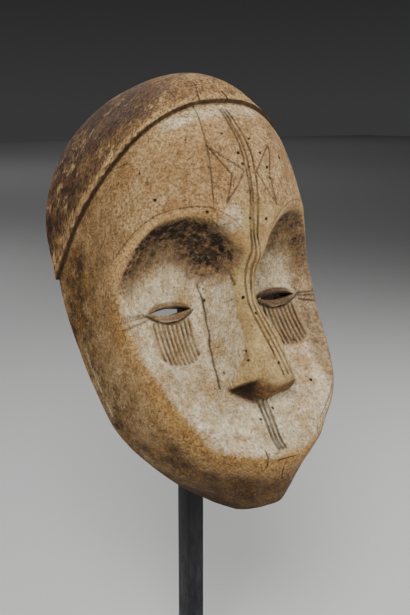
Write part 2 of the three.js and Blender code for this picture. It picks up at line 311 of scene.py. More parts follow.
def level_step(level):
    """The rise from one row to the next, less where the front falls away."""
    fall = abs(float(egg_front(level + 0.1)) - float(egg_front(level))) / 0.1
    height = next(height for end, height in ROW_HEIGHTS if level < end)
    return max(height / math.hypot(1, fall), 0.03)


right_turns = stepped((0, math.pi / 2), turn_step)
turns = np.concatenate([-right_turns[:0:-1], right_turns])
levels = stepped((0, MASK_HEIGHT - 0.1), level_step)
across, egg, up = mask_grid(levels, turns)

# Long shallow hollows left by the adze
ADZE_DEPTH = 0.16
ripple = (np.sin(across * 0.31 + up * 0.12) * np.sin(up * 0.27 - across * 0.09)
          + 0.6 * np.sin(across * 0.17 - up * 0.21 + 1.3)) * ADZE_DEPTH
front = carve(across, up, egg) + ripple * smooth(np.cos(turns), 0, 0.3)
mask = lofted("mask_carving", standing(across, front, up))


def combine(target, tool, operation):
    """Joins or cuts with another closed object, which is then used up."""
    modifier = target.modifiers.new(operation, "BOOLEAN")
    modifier.operation = operation
    modifier.solver = "MANIFOLD"
    modifier.object = tool
    graph = bpy.context.evaluated_depsgraph_get()
    result = bpy.data.meshes.new_from_object(target.evaluated_get(graph))
    target.modifiers.clear()
    target.data = result
    bpy.data.objects.remove(tool)


# The hood
# The same block stands 3 mm higher over the crown, down to a straight step across the forehead
# that slants back on its way round to the sides.
HOOD_PROUD = 3
HOOD_FRONT = (24, 307)
HOOD_SLOPE = math.radians(44.2)
low, slant = math.cos(HOOD_SLOPE), math.sin(HOOD_SLOPE)
dome_size = np.array([98, 140, 125])
across, egg, up = mask_grid(levels[levels > 150], turns[::2])
outward = np.stack([across, egg - rim(up), np.maximum(up - CROWN_START, 0)], -1) / dome_size ** 2
length = np.linalg.norm(outward, axis=-1, keepdims=True)
outward = np.where(length > 1e-9, HOOD_PROUD * outward / np.maximum(length, 1e-9),
                   (0, 0, HOOD_PROUD))
hood = lofted("hood", standing(across + outward[..., 0], egg + outward[..., 1],
                               up + outward[..., 2]))

# The step is cut with the face of a large block that stands on it
half_side = 200
corners = []
for right in (-1, 1):
    for along, height in ((-1, 0), (1, 0), (1, 2), (-1, 2)):
        f = HOOD_FRONT[0] + half_side * (along * low - height * slant)
        u = HOOD_FRONT[1] + half_side * (along * slant + height * low)
        corners.append(standing(right * half_side, f, u))
step_block = object_from("step_block", corners, [
    (0, 1, 2, 3), (4, 5, 6, 7), (0, 1, 5, 4), (1, 2, 6, 5), (2, 3, 7, 6), (3, 0, 4, 7)])
combine(hood, step_block, "INTERSECT")
combine(mask, hood, "UNION")


# The hollow
# It is gouged out from behind to a wall of about 10 mm, a little thicker at the brow and the jaw,
# and runs out through the back, which is open.
HOLLOW_FOOT = 14
HOLLOW_BROW = 245
HOLLOW_TOP = 340
GOUGE_DEPTH = 0.35
hollow_side = through([
    (14, 5), (18, 18), (30, 40), (45, 56), (60, 69), (80, 79.5), (105, 85), (130, 88),
    (175, 90.5), (205, 89), (CROWN_START, 88),
])
hollow_front = through([
    (14, -38), (20, -20), (30, -4), (45, 12), (60, 18), (80, 10), (105, -6), (130, -15),
    (175, -20), (200, -14), (218, 2), (235, 20), (250, 33), (262, 37), (291, 27), (307, 17),
    (325, 2), (335, -22), (340, -60),
])
dome_share = np.sin(np.linspace(0, 1, 34)[1:] * math.pi / 2)
level, turn = np.meshgrid(
    np.concatenate([np.linspace(HOLLOW_FOOT, HOLLOW_BROW, 90),
                    HOLLOW_BROW + (HOLLOW_TOP - HOLLOW_BROW) * dome_share]),
    np.linspace(-math.pi / 2, math.pi / 2, 73), indexing="ij")
half = np.maximum(hollow_side(level) * crown_taper(level, HOLLOW_TOP), 3)
square = 2.4 + 2 * (1 - smooth(level, 200, 250))
across, deep = section_point(turn, half, hollow_front(level), rim(level), square)
gouge = GOUGE_DEPTH * np.sin(across * 0.42 + 2 * np.sin(level * 0.11)) * np.sin(level * 0.23)
ring = standing(across, deep + gouge * smooth(np.cos(turn), 0, 0.4), level)
behind = [standing(side * half[:, :1], rim(level[:, :1]) - 20, level[:, :1]) for side in (-1, 1)]
combine(mask, lofted("hollow", np.concatenate([behind[0], ring, behind[1]], axis=1)),
        "DIFFERENCE")


# The eyes, the mouth and the cord hole
# Each eye is a raised almond, slit right through. The mouth is one short stroke of a wide gouge,
# and one hole for a cord is drilled through the rim of the near jaw.
EYE_OUT = 51
EYE_HEIGHT = 159.5
MOUTH_HEIGHT = 39.7
HOLE_HEIGHT = 79
HOLE_RADIUS = 2.2
HOLE_FORWARD = float(rim(HOLE_HEIGHT)) + 6.5


def almond(side, length, height, down=0.0):
    """A pointed oval around one eye's middle."""
    turns = np.linspace(0, 2 * math.pi, 40, endpoint=False)
    bulge = np.sin(turns) * np.abs(np.sin(turns))
    return side * EYE_OUT + length * np.cos(turns), EYE_HEIGHT - down + height * bulge


def on_face(x, u, proud=0.0):
    return standing(x, surface(x, u) + proud, u)


def eyelids(side):
    """A raised almond round one eye, fullest beside the slit."""
    rings = []
    for share, proud in ((0, -4), (0, 0.3), (0.35, 1.3), (0.7, 2.1), (1, 2.2)):
        x, u = almond(side, 21 - 2 * share, 8 - 3.5 * share, 1 - 0.5 * share)
        rings.append(on_face(x, u, proud))
    return lofted("eyelids", np.stack(rings))


def eye_slit(side):
    """What the slit takes out, from behind the wall to in front of the face."""
    x, u = almond(side, 18.5, 2.6)
    return lofted("slit", np.stack([standing(x, -60, u), standing(x, 30, u)]))


def mouth():
    """A shallow three-sided stroke, pointed at both ends."""
    x = np.linspace(-9.7, 9.7, 24)
    width = 1.5 * np.sqrt(np.clip(1 - (x / 9.9) ** 2, 0.02, 1))
    front = surface(x, MOUTH_HEIGHT)
    return lofted("mouth", np.stack([
        standing(x, front - 2.2, MOUTH_HEIGHT + 0 * x),
        standing(x, front + 2, MOUTH_HEIGHT + width),
        standing(x, front + 2, MOUTH_HEIGHT - width)], axis=1))


def cord_hole():
    turns = np.linspace(0, 2 * math.pi, 20, endpoint=False)
    f = HOLE_FORWARD + HOLE_RADIUS * np.cos(turns)
    u = HOLE_HEIGHT + HOLE_RADIUS * np.sin(turns)
    return lofted("drill", np.stack([standing(-110, f, u), standing(-60, f, u)]))


for side in (-1, 1):
    combine(mask, eyelids(side), "UNION")
    combine(mask, eye_slit(side), "DIFFERENCE")
combine(mask, mouth(), "DIFFERENCE")
combine(mask, cord_hole(), "DIFFERENCE")


# The lines on the face
# They are cut with a knife point: three down the forehead and nose, three on the lip, a comb under
# each eye and finer ones at the temples. The drying cracks and beetle holes came with age.
COMB_OUT = 52
COMB_HALF = 19
COMB_TOP = 152
COMB_FOOT = 119
CUTS_IN_COMB = 9


def stroke(*points, spacing=1.2):
    """Points closely along a path that is given in (x, u) on the face."""
    path = np.array(points, float)
    along = np.concatenate([[0], np.cumsum(np.linalg.norm(np.diff(path, axis=0), axis=1))])
    places = np.linspace(0, along[-1], max(int(along[-1] / spacing), 2) + 1)
    return np.interp(places, along, path[:, 0]), np.interp(places, along, path[:, 1])


def comb(side, middle, top, bottom, lean):
    """Parallel cuts under one eye: an even field with a round lower end."""
    made = []
    for i in range(CUTS_IN_COMB):
        share = 2 * (i + 0.5) / CUTS_IN_COMB - 1
        x0 = middle + share * (COMB_HALF - 1)
        fall = (top - bottom) * (1 - 0.22 * abs(share) ** 3)
        made.append(stroke((side * x0, top), (side * (x0 + lean * fall), top - fall)))
    return made


deep_lines = [
    stroke((-5.3, 304), (-5.1, 291), (-3.7, 277), (-3.3, 262), (-2.6, 246), (-3.2, 234),
           (-5.4, 219), (-7, 205), (-5.4, 185), (-4.6, 172), (-3.3, 160), (-3, 150), (-3.4, 136),
           (-0.5, 123), (2.9, 111), (6.2, 101)),
    stroke((-2.7, 304), (-2.2, 290), (-0.4, 276), (-0.1, 262), (-0.2, 250), (-1, 234), (-2.8, 219),
           (-4.3, 205), (-2.3, 185), (-0.9, 172), (0.7, 160), (1.2, 150), (0.8, 136), (3.7, 123),
           (7.2, 111), (10.3, 101)),
    stroke((-0.1, 304), (1.6, 292), (3.6, 281), (5, 262), (4.7, 247), (3.9, 234), (1.3, 219),
           (-1.2, 205), (1.2, 185), (3, 172), (4.5, 160), (5, 150), (4.6, 136), (7.6, 123),
           (11.2, 112), (14, 101)),
]
lip_lines = [
    stroke((-4.4, 85), (-5.1, 75), (-4.8, 60), (-3.9, 47)),
    stroke((-0.6, 84), (-1.5, 75), (-1.2, 60), (-0.9, 47)),
    stroke((3.6, 84), (2.2, 71), (2.6, 56), (2.2, 47)),
]
comb_lines = comb(-1, COMB_OUT - 1, COMB_TOP, COMB_FOOT, 0.02)
far_comb_lines = comb(1, COMB_OUT - 2, COMB_TOP + 1.5, COMB_FOOT + 2, 0.1)
# Where the rim of the cheek is rubbed down to pale wood
rubs = [(-0.9998 * half_width(height), height) for height in (
    np.linspace(142, 123, 20), np.linspace(120, 103, 18), np.linspace(99, 88, 12))]
lid_lines = []
crease_lines = []
fine_lines = [
    stroke((-30.5, 274.6), (-19.6, 264), (-5, 253.5), (-12.5, 243), (-24, 231)),
    stroke((-30.5, 274.6), (-23.5, 261.7), (-16.2, 250.8), (-20.1, 239.8), (-24, 231)),
    stroke((24.7, 273), (15.1, 263.4), (6, 252), (13.2, 239.3), (21.4, 227.5)),
    stroke((24.7, 273), (23.3, 263.5), (18.8, 251.9), (20, 239), (21.4, 227.5)),
]
for side in (-1, 1):
    for drop in (0, 2.5, 6.5):
        fine_lines.append(stroke((side * 74, EYE_HEIGHT + 0.5 - drop * 0.8),
                                 (side * 94, EYE_HEIGHT - drop * 1.4)))
    brow = np.linspace(14, 90, 50)
    crease_lines.append((side * brow, brow_arch(brow) + 2.2))
    turns = np.linspace(math.pi * 1.02, math.pi * 1.98, 30)
    lid_lines.append((side * EYE_OUT + 21.6 * np.cos(turns), 158.8 - 8.6 * np.sin(turns) ** 2))
foot = np.linspace(97, 177, 90)
foot_cracks = [
    (-nose_half_width(foot) - 1.3 - 0.3 * np.sin(foot * 0.4), foot),
    stroke((-38.5, 208.5), (-27.7, 203.7), (-19.5, 197.5), (-13.5, 188.5), (-10.9, 180),
           (-9.4, 173.5)),
]
cracks = [
    stroke((-25.5, 307), (-26.4, 299), (-29.4, 280), (-30.9, 262), (-33.3, 241), (-34, 227),
           (-28.4, 216)),
    stroke((-58.9, 294), (-61.8, 283)), stroke((-81.3, 269.5), (-77.8, 269.8), (-73.2, 272)),
    stroke((70, 84), (67.4, 78.3), (57.5, 69.6), (48.3, 60.2)), stroke((-13, 160), (-9.5, 162)),
    stroke((43.9, 55), (40.8, 49)), stroke((-16, 49), (-17.1, 35.5)),
    stroke((-2, 34), (-1, 24)),
]
hood_cracks = [
    stroke((-21.1, 308), (-18.5, 317), (-14.5, 328)), stroke((5.2, 310), (4.6, 315), (3.4, 319)),
    stroke((-56, 306), (-53, 314), (-54, 322)), stroke((-78, 284), (-76, 292), (-80, 300)),
]
worm_places = [
    (-67.9, 240.1), (-80.5, 258), (-7.1, 266.9), (-5.3, 258.8), (0.2, 256.3), (13.7, 266.7),
    (34.7, 263.3), (18.6, 247.4), (7, 278.1), (-15, 283.1), (-5.8, 218.3), (8.8, 216.9),
    (-38.8, 225.6), (17.1, 255.3), (-6, 161.9), (-0.3, 148.8), (-16.9, 122.2), (-17.3, 115.5),
    (-21, 126.5), (-17.8, 164.4), (-18.1, 172.9), (-24.8, 107.9), (3.3, 110.2), (55.8, 122.9),
    (-71, 262), (-92, 215), (52, 90), (6, 76), (-9, 70),
]
worm_holes = [(np.array([x, x + 0.2]), np.array([u, u])) for x, u in worm_places]


def line_object(name, strokes, proud=0.0):
    """Wire along every stroke, lying on the face."""
    points, edges = [], []
    for x, u in strokes:
        first = len(points)
        points += [tuple(p) for p in on_face(x, u, proud)]
        edges += [(first + i, first + i + 1) for i in range(len(x) - 1)]
    mesh = bpy.data.meshes.new(name)
    mesh.from_pydata(points, edges, [])
    made = bpy.data.objects.new(name, mesh)
    bpy.context.scene.collection.objects.link(made)
    return made


def node(tree, kind, inputs=None, **settings):
    """Adds a node, sets its settings, and fills or links its inputs."""
    made = tree.nodes.new(kind)
    for name, value in settings.items():
        setattr(made, name, value)
    for key, value in (inputs or {}).items():
        if isinstance(value, bpy.types.NodeSocket):
            tree.links.new(value, made.inputs[key])
        else:
            made.inputs[key].default_value = value
    return made


# A line's mark is 1 on the line and fades to 0 this far from it
MARK_REACH_MM = 3


def incising_tree():
    """Presses a surface in beside a guide's edges, and keeps how close each point is to them."""
    tree = bpy.data.node_groups.new("incise", "GeometryNodeTree")
    face = tree.interface
    face.new_socket("Geometry", in_out="INPUT", socket_type="NodeSocketGeometry")
    face.new_socket("Guide", in_out="INPUT", socket_type="NodeSocketObject")
    face.new_socket("Half Width", in_out="INPUT", socket_type="NodeSocketFloat")
    face.new_socket("Depth", in_out="INPUT", socket_type="NodeSocketFloat")
    face.new_socket("Mark", in_out="INPUT", socket_type="NodeSocketString")
    face.new_socket("Material", in_out="INPUT", socket_type="NodeSocketMaterial")
    face.new_socket("Geometry", in_out="OUTPUT", socket_type="NodeSocketGeometry")
    given = node(tree, "NodeGroupInput").outputs
    guide = node(tree, "GeometryNodeObjectInfo", {"Object": given["Guide"]},
                 transform_space="RELATIVE")
    near = node(tree, "GeometryNodeProximity", {"Geometry": guide.outputs["Geometry"]},
                target_element="EDGES")
    share = node(tree, "ShaderNodeMapRange", {
        "Value": near.outputs["Distance"], "From Min": 0.0, "From Max": given["Half Width"],
        "To Min": 1.0, "To Max": 0.0}, interpolation_type="SMOOTHSTEP")
    closeness = node(tree, "ShaderNodeMapRange", {
        "Value": near.outputs["Distance"], "From Min": 0.0,
        "From Max": MARK_REACH_MM / 1000, "To Min": 1.0, "To Max": 0.0})
    into = node(tree, "ShaderNodeMath", {0: share.outputs["Result"], 1: given["Depth"]},
                operation="MULTIPLY")
    inward = node(tree, "ShaderNodeMath", {0: into.outputs[0], 1: -1.0}, operation="MULTIPLY")
    normal = node(tree, "GeometryNodeInputNormal")
    shift = node(tree, "ShaderNodeVectorMath", {0: normal.outputs[0], "Scale": inward.outputs[0]},
                 operation="SCALE")
    pressed = node(tree, "GeometryNodeSetPosition", {
        "Geometry": given["Geometry"], "Offset": shift.outputs[0]})
    kept = node(tree, "GeometryNodeStoreNamedAttribute", {
        "Geometry": pressed.outputs[0], "Name": given["Mark"],
        "Value": closeness.outputs["Result"]}, data_type="FLOAT", domain="POINT")
    real = node(tree, "GeometryNodeRealizeInstances", {"Geometry": kept.outputs[0]})
    dressed = node(tree, "GeometryNodeSetMaterial", {
        "Geometry": real.outputs[0], "Material": given["Material"]})
    node(tree, "NodeGroupOutput", {"Geometry": dressed.outputs[0]})
    return tree


carved_wood = bpy.data.materials.new("carved_wood_with_kaolin")
incise = incising_tree()


def cut_in(strokes, half_width_mm, depth_mm, mark, proud=0.0):
    """Cuts strokes into the mask, and leaves their mark on its points."""
    guide = line_object("guide", strokes, proud)
    modifier = mask.modifiers.new("incise", "NODES")
    modifier.node_group = incise
    values = {"Guide": guide, "Half Width": half_width_mm / 1000, "Depth": depth_mm / 1000,
              "Mark": mark, "Material": carved_wood}
    for item in incise.interface.items_tree:
        if item.in_out == "INPUT" and item.name in values:
            modifier[item.identifier] = values[item.name]
    graph = bpy.context.evaluated_depsgraph_get()
    result = bpy.data.meshes.new_from_object(mask.evaluated_get(graph))
    mask.modifiers.clear()
    mask.data = result
    bpy.data.objects.remove(guide)


# Each kind of line with its half width and its depth, in mm
for mark, strokes, half_width_mm, depth_mm in (
        ("deep_cut", deep_lines, 1.2, 0.9), ("lip_cut", lip_lines, 1.7, 1.2),
        ("comb_cut", comb_lines, 1.5, 1.0), ("far_comb_cut", far_comb_lines, 1.5, 1.0),
        ("lid_cut", lid_lines, 1.2, 0.4), ("fine_cut", fine_lines, 1.0, 0.35),
        ("crease", crease_lines, 1.0, 0.3), ("foot_crack", foot_cracks, 1.1, 0.6),
        ("crack", cracks, 0.95, 0.5), ("rub", rubs, 1.2, 0.15)):
    cut_in(strokes, half_width_mm, depth_mm, mark)
cut_in(hood_cracks, 0.95, 0.5, "hood_crack", HOOD_PROUD)
cut_in(worm_holes, 1.3, 1.2, "worm_hole")


# Where the mask is painted, sooted and handled
# Its finish follows the carving, so each point keeps how much of each finish it has: kaolin in the
# dish, soot under the brows, bare wood on the nose, and dark handled wood around the outside.
# Some marks are painted shade: under the nose, along the top of the eye slits, on the hood's step,
# low on the jaw and chin, and in the creases over the brows
SUNK_DEPTH = 0.6
places = np.empty(len(mask.data.vertices) * 3)
mask.data.vertices.foreach_get("co", places)
places = places.reshape(-1, 3) * 1000
turned_y, turned_z = places[:, 1] + CHIN_FORWARD, places[:, 2] - CHIN_HEIGHT
x = places[:, 0]
f = -turned_y * math.cos(LEAN) + turned_z * math.sin(LEAN)
u = turned_y * math.sin(LEAN) + turned_z * math.cos(LEAN)
side = np.abs(x)
egg = egg_height(x, u)
face = surface(x, u)


def fading(value, start, end):
    """1 up to the start and 0 from the end on, with a soft fall between them."""
    return 1 - smooth(value, start, end)


def soft_patch(x0, u0, wide, high):
    """A round patch with a soft edge, around a point of the face."""
    return np.exp(-((x - x0) / wide) ** 2 - ((u - u0) / high) ** 2)


# How far each point is from the edge of the sunk face, in mm, counted positive inside it
edge_x, edge_u = np.meshgrid(np.arange(-98, 98.1, 1), np.arange(20, 240, 1))
edge_f = surface(edge_x, edge_u)
sunk = egg_height(edge_x, edge_u) - edge_f > SUNK_DEPTH
edge = np.zeros_like(sunk)
edge[:, 1:] |= sunk[:, 1:] != sunk[:, :-1]
edge[1:] |= sunk[1:] != sunk[:-1]
edge_points = np.stack([edge_x[edge], edge_f[edge], edge_u[edge]], -1)
nearest = KDTree(len(edge_points))
for i, point in enumerate(edge_points):
    nearest.insert(point, i)
nearest.balance()
within = np.array([nearest.find(point)[2] for point in np.stack([x, f, u], -1)])
within = np.where(egg - face > SUNK_DEPTH, within, -within)

# 1 on the front of the wall, 0 in the hollow
outer = smooth(f - face, -4, -2) * fading(f - face, 5, 7)

# The nose: its flat top is near the ridge, and its underside is near the slanting plane
above_dish = f - dish(x, u)
ridge_above_dish = np.maximum(nose_ridge(u) - dish(x, u), 5)
needed = through([(88, 0.15), (100, 0.3), (110, 0.5), (120, 0.74), (132, 0.82), (205, 0.84)])(u)
nose_top = (smooth(above_dish / ridge_above_dish, needed - 0.1, needed + 0.06)
            * smooth(u, 84, 90) * fading(side, 30, 33))
under_nose = (smooth(f - nose_underside(x, u), -2.5, -0.8) * smooth(above_dish, 0.8, 3)
              * fading(side, 30, 34) * fading(u, 98, 103) * smooth(u, 72, 80))
behind_rim = nose_body(x, u, dish(x, u) - NOSE_FOOT) - f

# The brows: the hollow under each arch, and a band along its edge
below = below_brow(x, u)
socket = (smooth(below, 3, 8) * (1 - np.clip((below - 10) / 36, 0, 1))
          * smooth(side, 6, 14) * fading(side, 88, 95) * smooth(u, 165, 200))
brow_band = smooth(below, -1, 0.5) * fading(below, 5, 7) * fading(side, 90, 95)

# The hood above its step, the lids, the comb fields and the cord hole
above_step = (u - HOOD_FRONT[1]) * low - (f - HOOD_FRONT[0]) * slant
from_eye = (side - EYE_OUT, u - EYE_HEIGHT)
lid = fading(np.hypot(from_eye[0] / 21.5, from_eye[1] / 8), 0.85, 1.0)
slit_edge = fading(np.hypot(from_eye[0] / 19.5, from_eye[1] / 4.4), 0.8, 1.05)
from_comb = np.abs(side - COMB_OUT)
comb_end = COMB_FOOT + 7 * (from_comb / COMB_HALF) ** 3
comb_field = (fading(from_comb, COMB_HALF - 0.5, COMB_HALF + 1.5)
              * smooth(u, comb_end - 1.5, comb_end + 0.5) * fading(u, COMB_TOP - 1, COMB_TOP + 1))
from_hole = np.hypot(u - HOLE_HEIGHT, f - HOLE_FORWARD)

marks = {
    "kaolin": (outer * smooth(within, -4, 9) * (1 - nose_top) * (1 - 0.75 * socket)
               * (1 - brow_band) * fading(side, 92, 99)),
    "nose_top": outer * nose_top,
    # Painted shade under the nose, which faces down: darker brown, partly the wood's own tone, a
    # dark line behind its edge, and black on its near half
    "under_nose": outer * under_nose * smooth(behind_rim, 0, 3),
    "nose_rim": outer * under_nose * smooth(behind_rim, 0, 1) * fading(behind_rim, 1.2, 3.5),
    "nose_shade": (outer * under_nose * smooth(behind_rim, 2, 8)
                   * (1 - 0.9 * smooth(x + 0.6 * (u - 83), -9, -1))),
    # Painted shadow that the nose casts on the lip below it
    "under_shadow": outer * soft_patch(-14, 80 - 0.62 * x, 13, 4.5) * fading(above_dish, 4, 9),
    "soot": outer * (socket * (1 - 0.3 * (x > 0)) + 0.42 * soft_patch(-24, 191, 11, 13)),
    "brow_band": outer * brow_band,
    "lid": outer * lid * (1 - 0.8 * smooth(x, 63, 70)),
    "far_lid": outer * lid * (x > 0) * fading(x, 63, 70),
    # Painted shade along the top of each eye slit, where the upper lid's inner wall lies in shadow
    "slit_edge": outer * slit_edge * smooth(u, EYE_HEIGHT - 1, EYE_HEIGHT + 1),
    "comb_field": outer * comb_field,
    "far_comb": outer * comb_field * (x > 0),
    "ochre": outer * smooth(within, -20, -3) * fading(within, 3, 13) * fading(u, 150, 185),
    "far_brown": (outer * smooth(within, -5, 3) * smooth(x, 54, 82) * smooth(u, 60, 90)
                  * (1 - 0.5 * smooth(u, 185, 205))),
    "brow_patch": outer * soft_patch(-21, 219, 11, 10),
    "brow_white": outer * (
        smooth(below, -20, -6) * fading(below, -3, 0) * fading(side, 14, 34) * smooth(-x, -14, 2)
        + smooth(above_step, -23, -9) * fading(above_step, -4, -1)
        * fading(np.abs(x + 10), 30, 58)),
    "upper_brow": outer * soft_patch(-42, 262, 30, 22),
    "hood": smooth(above_step, -0.6, 0.4),
    "hood_back": smooth(above_step, 5, 24) * smooth(side + 0.6 * above_step, 42, 82),
    "hood_lip": smooth(above_step, 0, 1) * fading(above_step, 3, 9),
    "hood_front": smooth(above_step, 0, 2) * fading(above_step, 14, 50) * fading(-x, 20, 85),
    # Painted shade on the face of the hood's step, which lies in the shadow of its edge
    "hood_edge": fading(np.abs(above_step + 0.4), 0.2, 1.1),
    "inside": (1 - outer) * (1 - smooth(above_step, -1, 1) * smooth(f - egg, -2, 1)),
    # Painted shade on the jaw below the face, which turns down away from the light
    "jaw": outer * smooth(-within, 4, 24) * fading(u, 50, 150),
    "jaw_dust": outer * soft_patch(-95, 104, 9, 28),
    "hole_rim": fading(from_hole, HOLE_RADIUS, 2 * HOLE_RADIUS + 0.1) * (x < -70),
    # Painted shade, darker towards the foot of the chin
    "chin_dirt": outer * smooth(-within, 6, 20) * fading(u, 18, 42),
    "handled": outer * fading(within, -1, 3) * smooth(-f, -30, 60),
}
for name, values in marks.items():
    attribute = mask.data.attributes.new(name, "FLOAT", "POINT")
    attribute.data.foreach_set("value", np.clip(values, 0, 1).astype(np.float32))


# The mask's wood and its finish
# Dry light wood under worn kaolin, ochre and soot: it shows white in the dish, tan on the brow and
# nose, nearly black where lines were cut, and rough, with brown grain and specks over everything.
carved_wood.use_nodes = True
tree = carved_wood.node_tree
tree.nodes.clear()


def linear(hex_colour, alpha=1.0):
    """An sRGB hex colour as the linear colour that a shader takes."""
    parts = [int(hex_colour[i:i + 2], 16) / 255 for i in (0, 2, 4)]
    return [c / 12.92 if c <= 0.04045 else ((c + 0.055) / 1.055) ** 2.4 for c in parts] + [alpha]


def pattern(size_mm, detail, roughness, stretch=(1, 1, 1), shift=0.0):
    """Cloudy patches about that many millimetres across, in the tree that is being made."""
    place = node(tree, "ShaderNodeTexCoord").outputs["Object"]
    moved = node(tree, "ShaderNodeMapping", {
        "Vector": place, "Location": (shift, shift, shift), "Scale": stretch})
    return node(tree, "ShaderNodeTexNoise", {
        "Vector": moved.outputs[0], "Scale": 1000 / size_mm, "Detail": detail,
        "Roughness": roughness}).outputs["Fac"]


def share(lies, span=None, of=None):
    """How thick a coat is, from the name of a mark or from a pattern.

    The span says from which to which value it starts and is full, and how thick it then is. It is
    that share of another thickness, if one is given.
    """
    if isinstance(lies, str):
        lies = node(tree, "ShaderNodeAttribute", attribute_name=lies).outputs["Fac"]
    if span:
        start, full, least, most = span
        lies = node(tree, "ShaderNodeMapRange", {
            "Value": lies, "From Min": start, "From Max": full, "To Min": least,
            "To Max": most}).outputs[0]
    if of is not None:
        lies = node(tree, "ShaderNodeMath", {0: lies, 1: of}, operation="MULTIPLY").outputs[0]
    return lies


def coat(under, over, lies, span=None, of=None):
    """One colour laid over another, as thick as its share says."""
    return node(tree, "ShaderNodeMix", {0: share(lies, span, of), 6: under, 7: over},
                data_type="RGBA").outputs[2]


def tone(base, *patches):
    """A colour broken up by patches of others: each one's pattern, start, end, most and colour."""
    colour = linear(base)
    for lies, start, full, most, over in patches:
        colour = coat(colour, linear(over), lies, (start, full, 0, most))
    return colour


# The grit and the fibres are really finer than half a millimetre. They are drawn about 2 mm coarse,
# so that they still show as roughness.
cloud = pattern(38, 8, 0.65)
patch = pattern(14, 8, 0.7, shift=3.0)
mottle = pattern(7, 7, 0.78, shift=5.0)
speck = pattern(2.2, 4, 0.7, shift=7.0)
fleck = pattern(4, 6, 0.8, shift=11.0)
grain = pattern(4, 6, 0.7, stretch=(1, 1, 0.07), shift=1.0)
grit = pattern(2.0, 4, 0.8, shift=13.0)
fibre = pattern(2.0, 5, 0.8, stretch=(1, 1, 0.4), shift=17.0)
chalk = pattern(20, 9, 0.82, stretch=(1, 1, 0.6), shift=27.0)
wear = pattern(24, 8, 0.72, shift=21.0)
uneven = node(tree, "ShaderNodeMath", {0: mottle, 1: patch}, operation="ADD").outputs[0]
flakes = node(tree, "ShaderNodeMath", {0: uneven, 1: 1.0}, operation="MINIMUM").outputs[0]
flakes = node(tree, "ShaderNodeMath", {0: flakes, 1: 1.3, 2: -1.3},
              operation="MULTIPLY_ADD").outputs[0]


def frayed(name, start, full):
    """A mark whose soft edge is broken up: paint by flaking, and the painted shadow under the nose
    to a ragged edge.
    """
    edge = node(tree, "ShaderNodeMath", {0: share(name), 1: flakes}, operation="ADD").outputs[0]
    return share(edge, (start, full, 0, 1))


bare = tone("8d6b42", (cloud, 0.38, 0.62, 1, "ae8d60"), (patch, 0.46, 0.62, 0.7, "b79c72"),
            (mottle, 0.52, 0.66, 0.6, "80603b"), (grain, 0.5, 0.66, 0.5, "6f4f2d"),
            (fleck, 0.54, 0.68, 0.7, "5f4327"))
brown = tone("3a2817", (patch, 0.4, 0.6, 1, "735228"), (mottle, 0.52, 0.64, 0.6, "a9874f"),
             (fleck, 0.54, 0.66, 0.7, "2d1e12"))
hood_wood = tone("573c24", (cloud, 0.42, 0.60, 1, "8f6c42"), (patch, 0.48, 0.66, 0.6, "ab8856"),
                 (grain, 0.48, 0.64, 0.6, "4a321d"), (mottle, 0.50, 0.64, 0.7, "33241a"))
white = tone("b5a17c", (cloud, 0.4, 0.62, 1, "dacbac"), (patch, 0.46, 0.6, 0.62, "a0855a"),
             (mottle, 0.50, 0.62, 0.55, "e2d7bf"), (wear, 0.51, 0.62, 0.85, "ad8c60"),
             (fleck, 0.52, 0.64, 0.7, "7d6747"), (grain, 0.52, 0.68, 0.5, "7f6947"))
worn_tan = tone("94774a", (patch, 0.4, 0.6, 1, "b39969"), (mottle, 0.54, 0.66, 0.3, "7a5c37"))

# The outside and the hood, darkened by hands and smoke, and painted shade low on the jaw and chin
colour = coat(bare, brown, "handled", of=share(cloud, (0.42, 0.57, 0.1, 1.0)))
colour = coat(colour, linear("86643c"), "upper_brow", of=0.45)
# Painted shade: the jaw is darker brown low down, where it faces down
colour = coat(colour, brown, "jaw", of=share(cloud, (0.38, 0.56, 0.2, 0.95)))
colour = coat(colour, linear("20160e"), "hole_rim", of=0.85)
# Painted shade under the chin
colour = coat(colour, linear("3a2614"), "chin_dirt", of=share(patch, (0.38, 0.56, 0.2, 0.85)))
colour = coat(colour, hood_wood, "hood")
colour = coat(colour, tone("a17d4d", (mottle, 0.46, 0.64, 1, "68492a")), "hood_front", of=0.4)
colour = coat(colour, tone("291a0f", (mottle, 0.4, 0.6, 1, "553820")), "hood_back",
              of=share(wear, (0.40, 0.50, 0.15, 1.0)))
colour = coat(colour, linear("bb9765"), "hood", of=share(chalk, (0.53, 0.6, 0, 0.7)))
colour = coat(colour, linear("b08d5e"), "hood_lip", of=0.7)

# Ochre and kaolin in the dish and on the brow, and the wood of the nose and the arches bare again
colour = coat(colour, white, frayed("brow_white", 0.45, 0.8), of=0.8)
colour = coat(colour, tone("a47c40", (mottle, 0.42, 0.6, 1, "6f4c24")), "ochre", of=0.68)
colour = coat(colour, linear("a58a60"), "jaw_dust", of=share(patch, (0.44, 0.54, 0, 0.6)))
colour = coat(colour, white, frayed("kaolin", 0.3, 0.9))
colour = coat(colour, worn_tan, frayed("nose_top", 0.3, 0.6))
colour = coat(colour, linear("b08d5b"), "brow_band", of=0.75)
colour = coat(colour, white, frayed("brow_patch", 0.3, 0.6))
colour = coat(colour, tone("5c4229", (mottle, 0.42, 0.58, 1, "9d8360")),
              frayed("far_brown", 0.15, 0.8), of=0.85)

# Soot under the brows: thin and brown at its edge, black where it is thick, flaking in between
soot = share("soot", of=share(uneven, (0.78, 1.22, 0.2, 1.5)))
colour = coat(colour, linear("705539"), soot, (0.08, 0.4, 0, 0.8))
colour = coat(colour, linear("1c140d"), soot, (0.42, 0.85, 0, 0.97))
colour = coat(colour, linear("8d7860"), soot, (0.1, 0.5, 0, 1), share(fleck, (0.52, 0.6, 0, 0.6)))
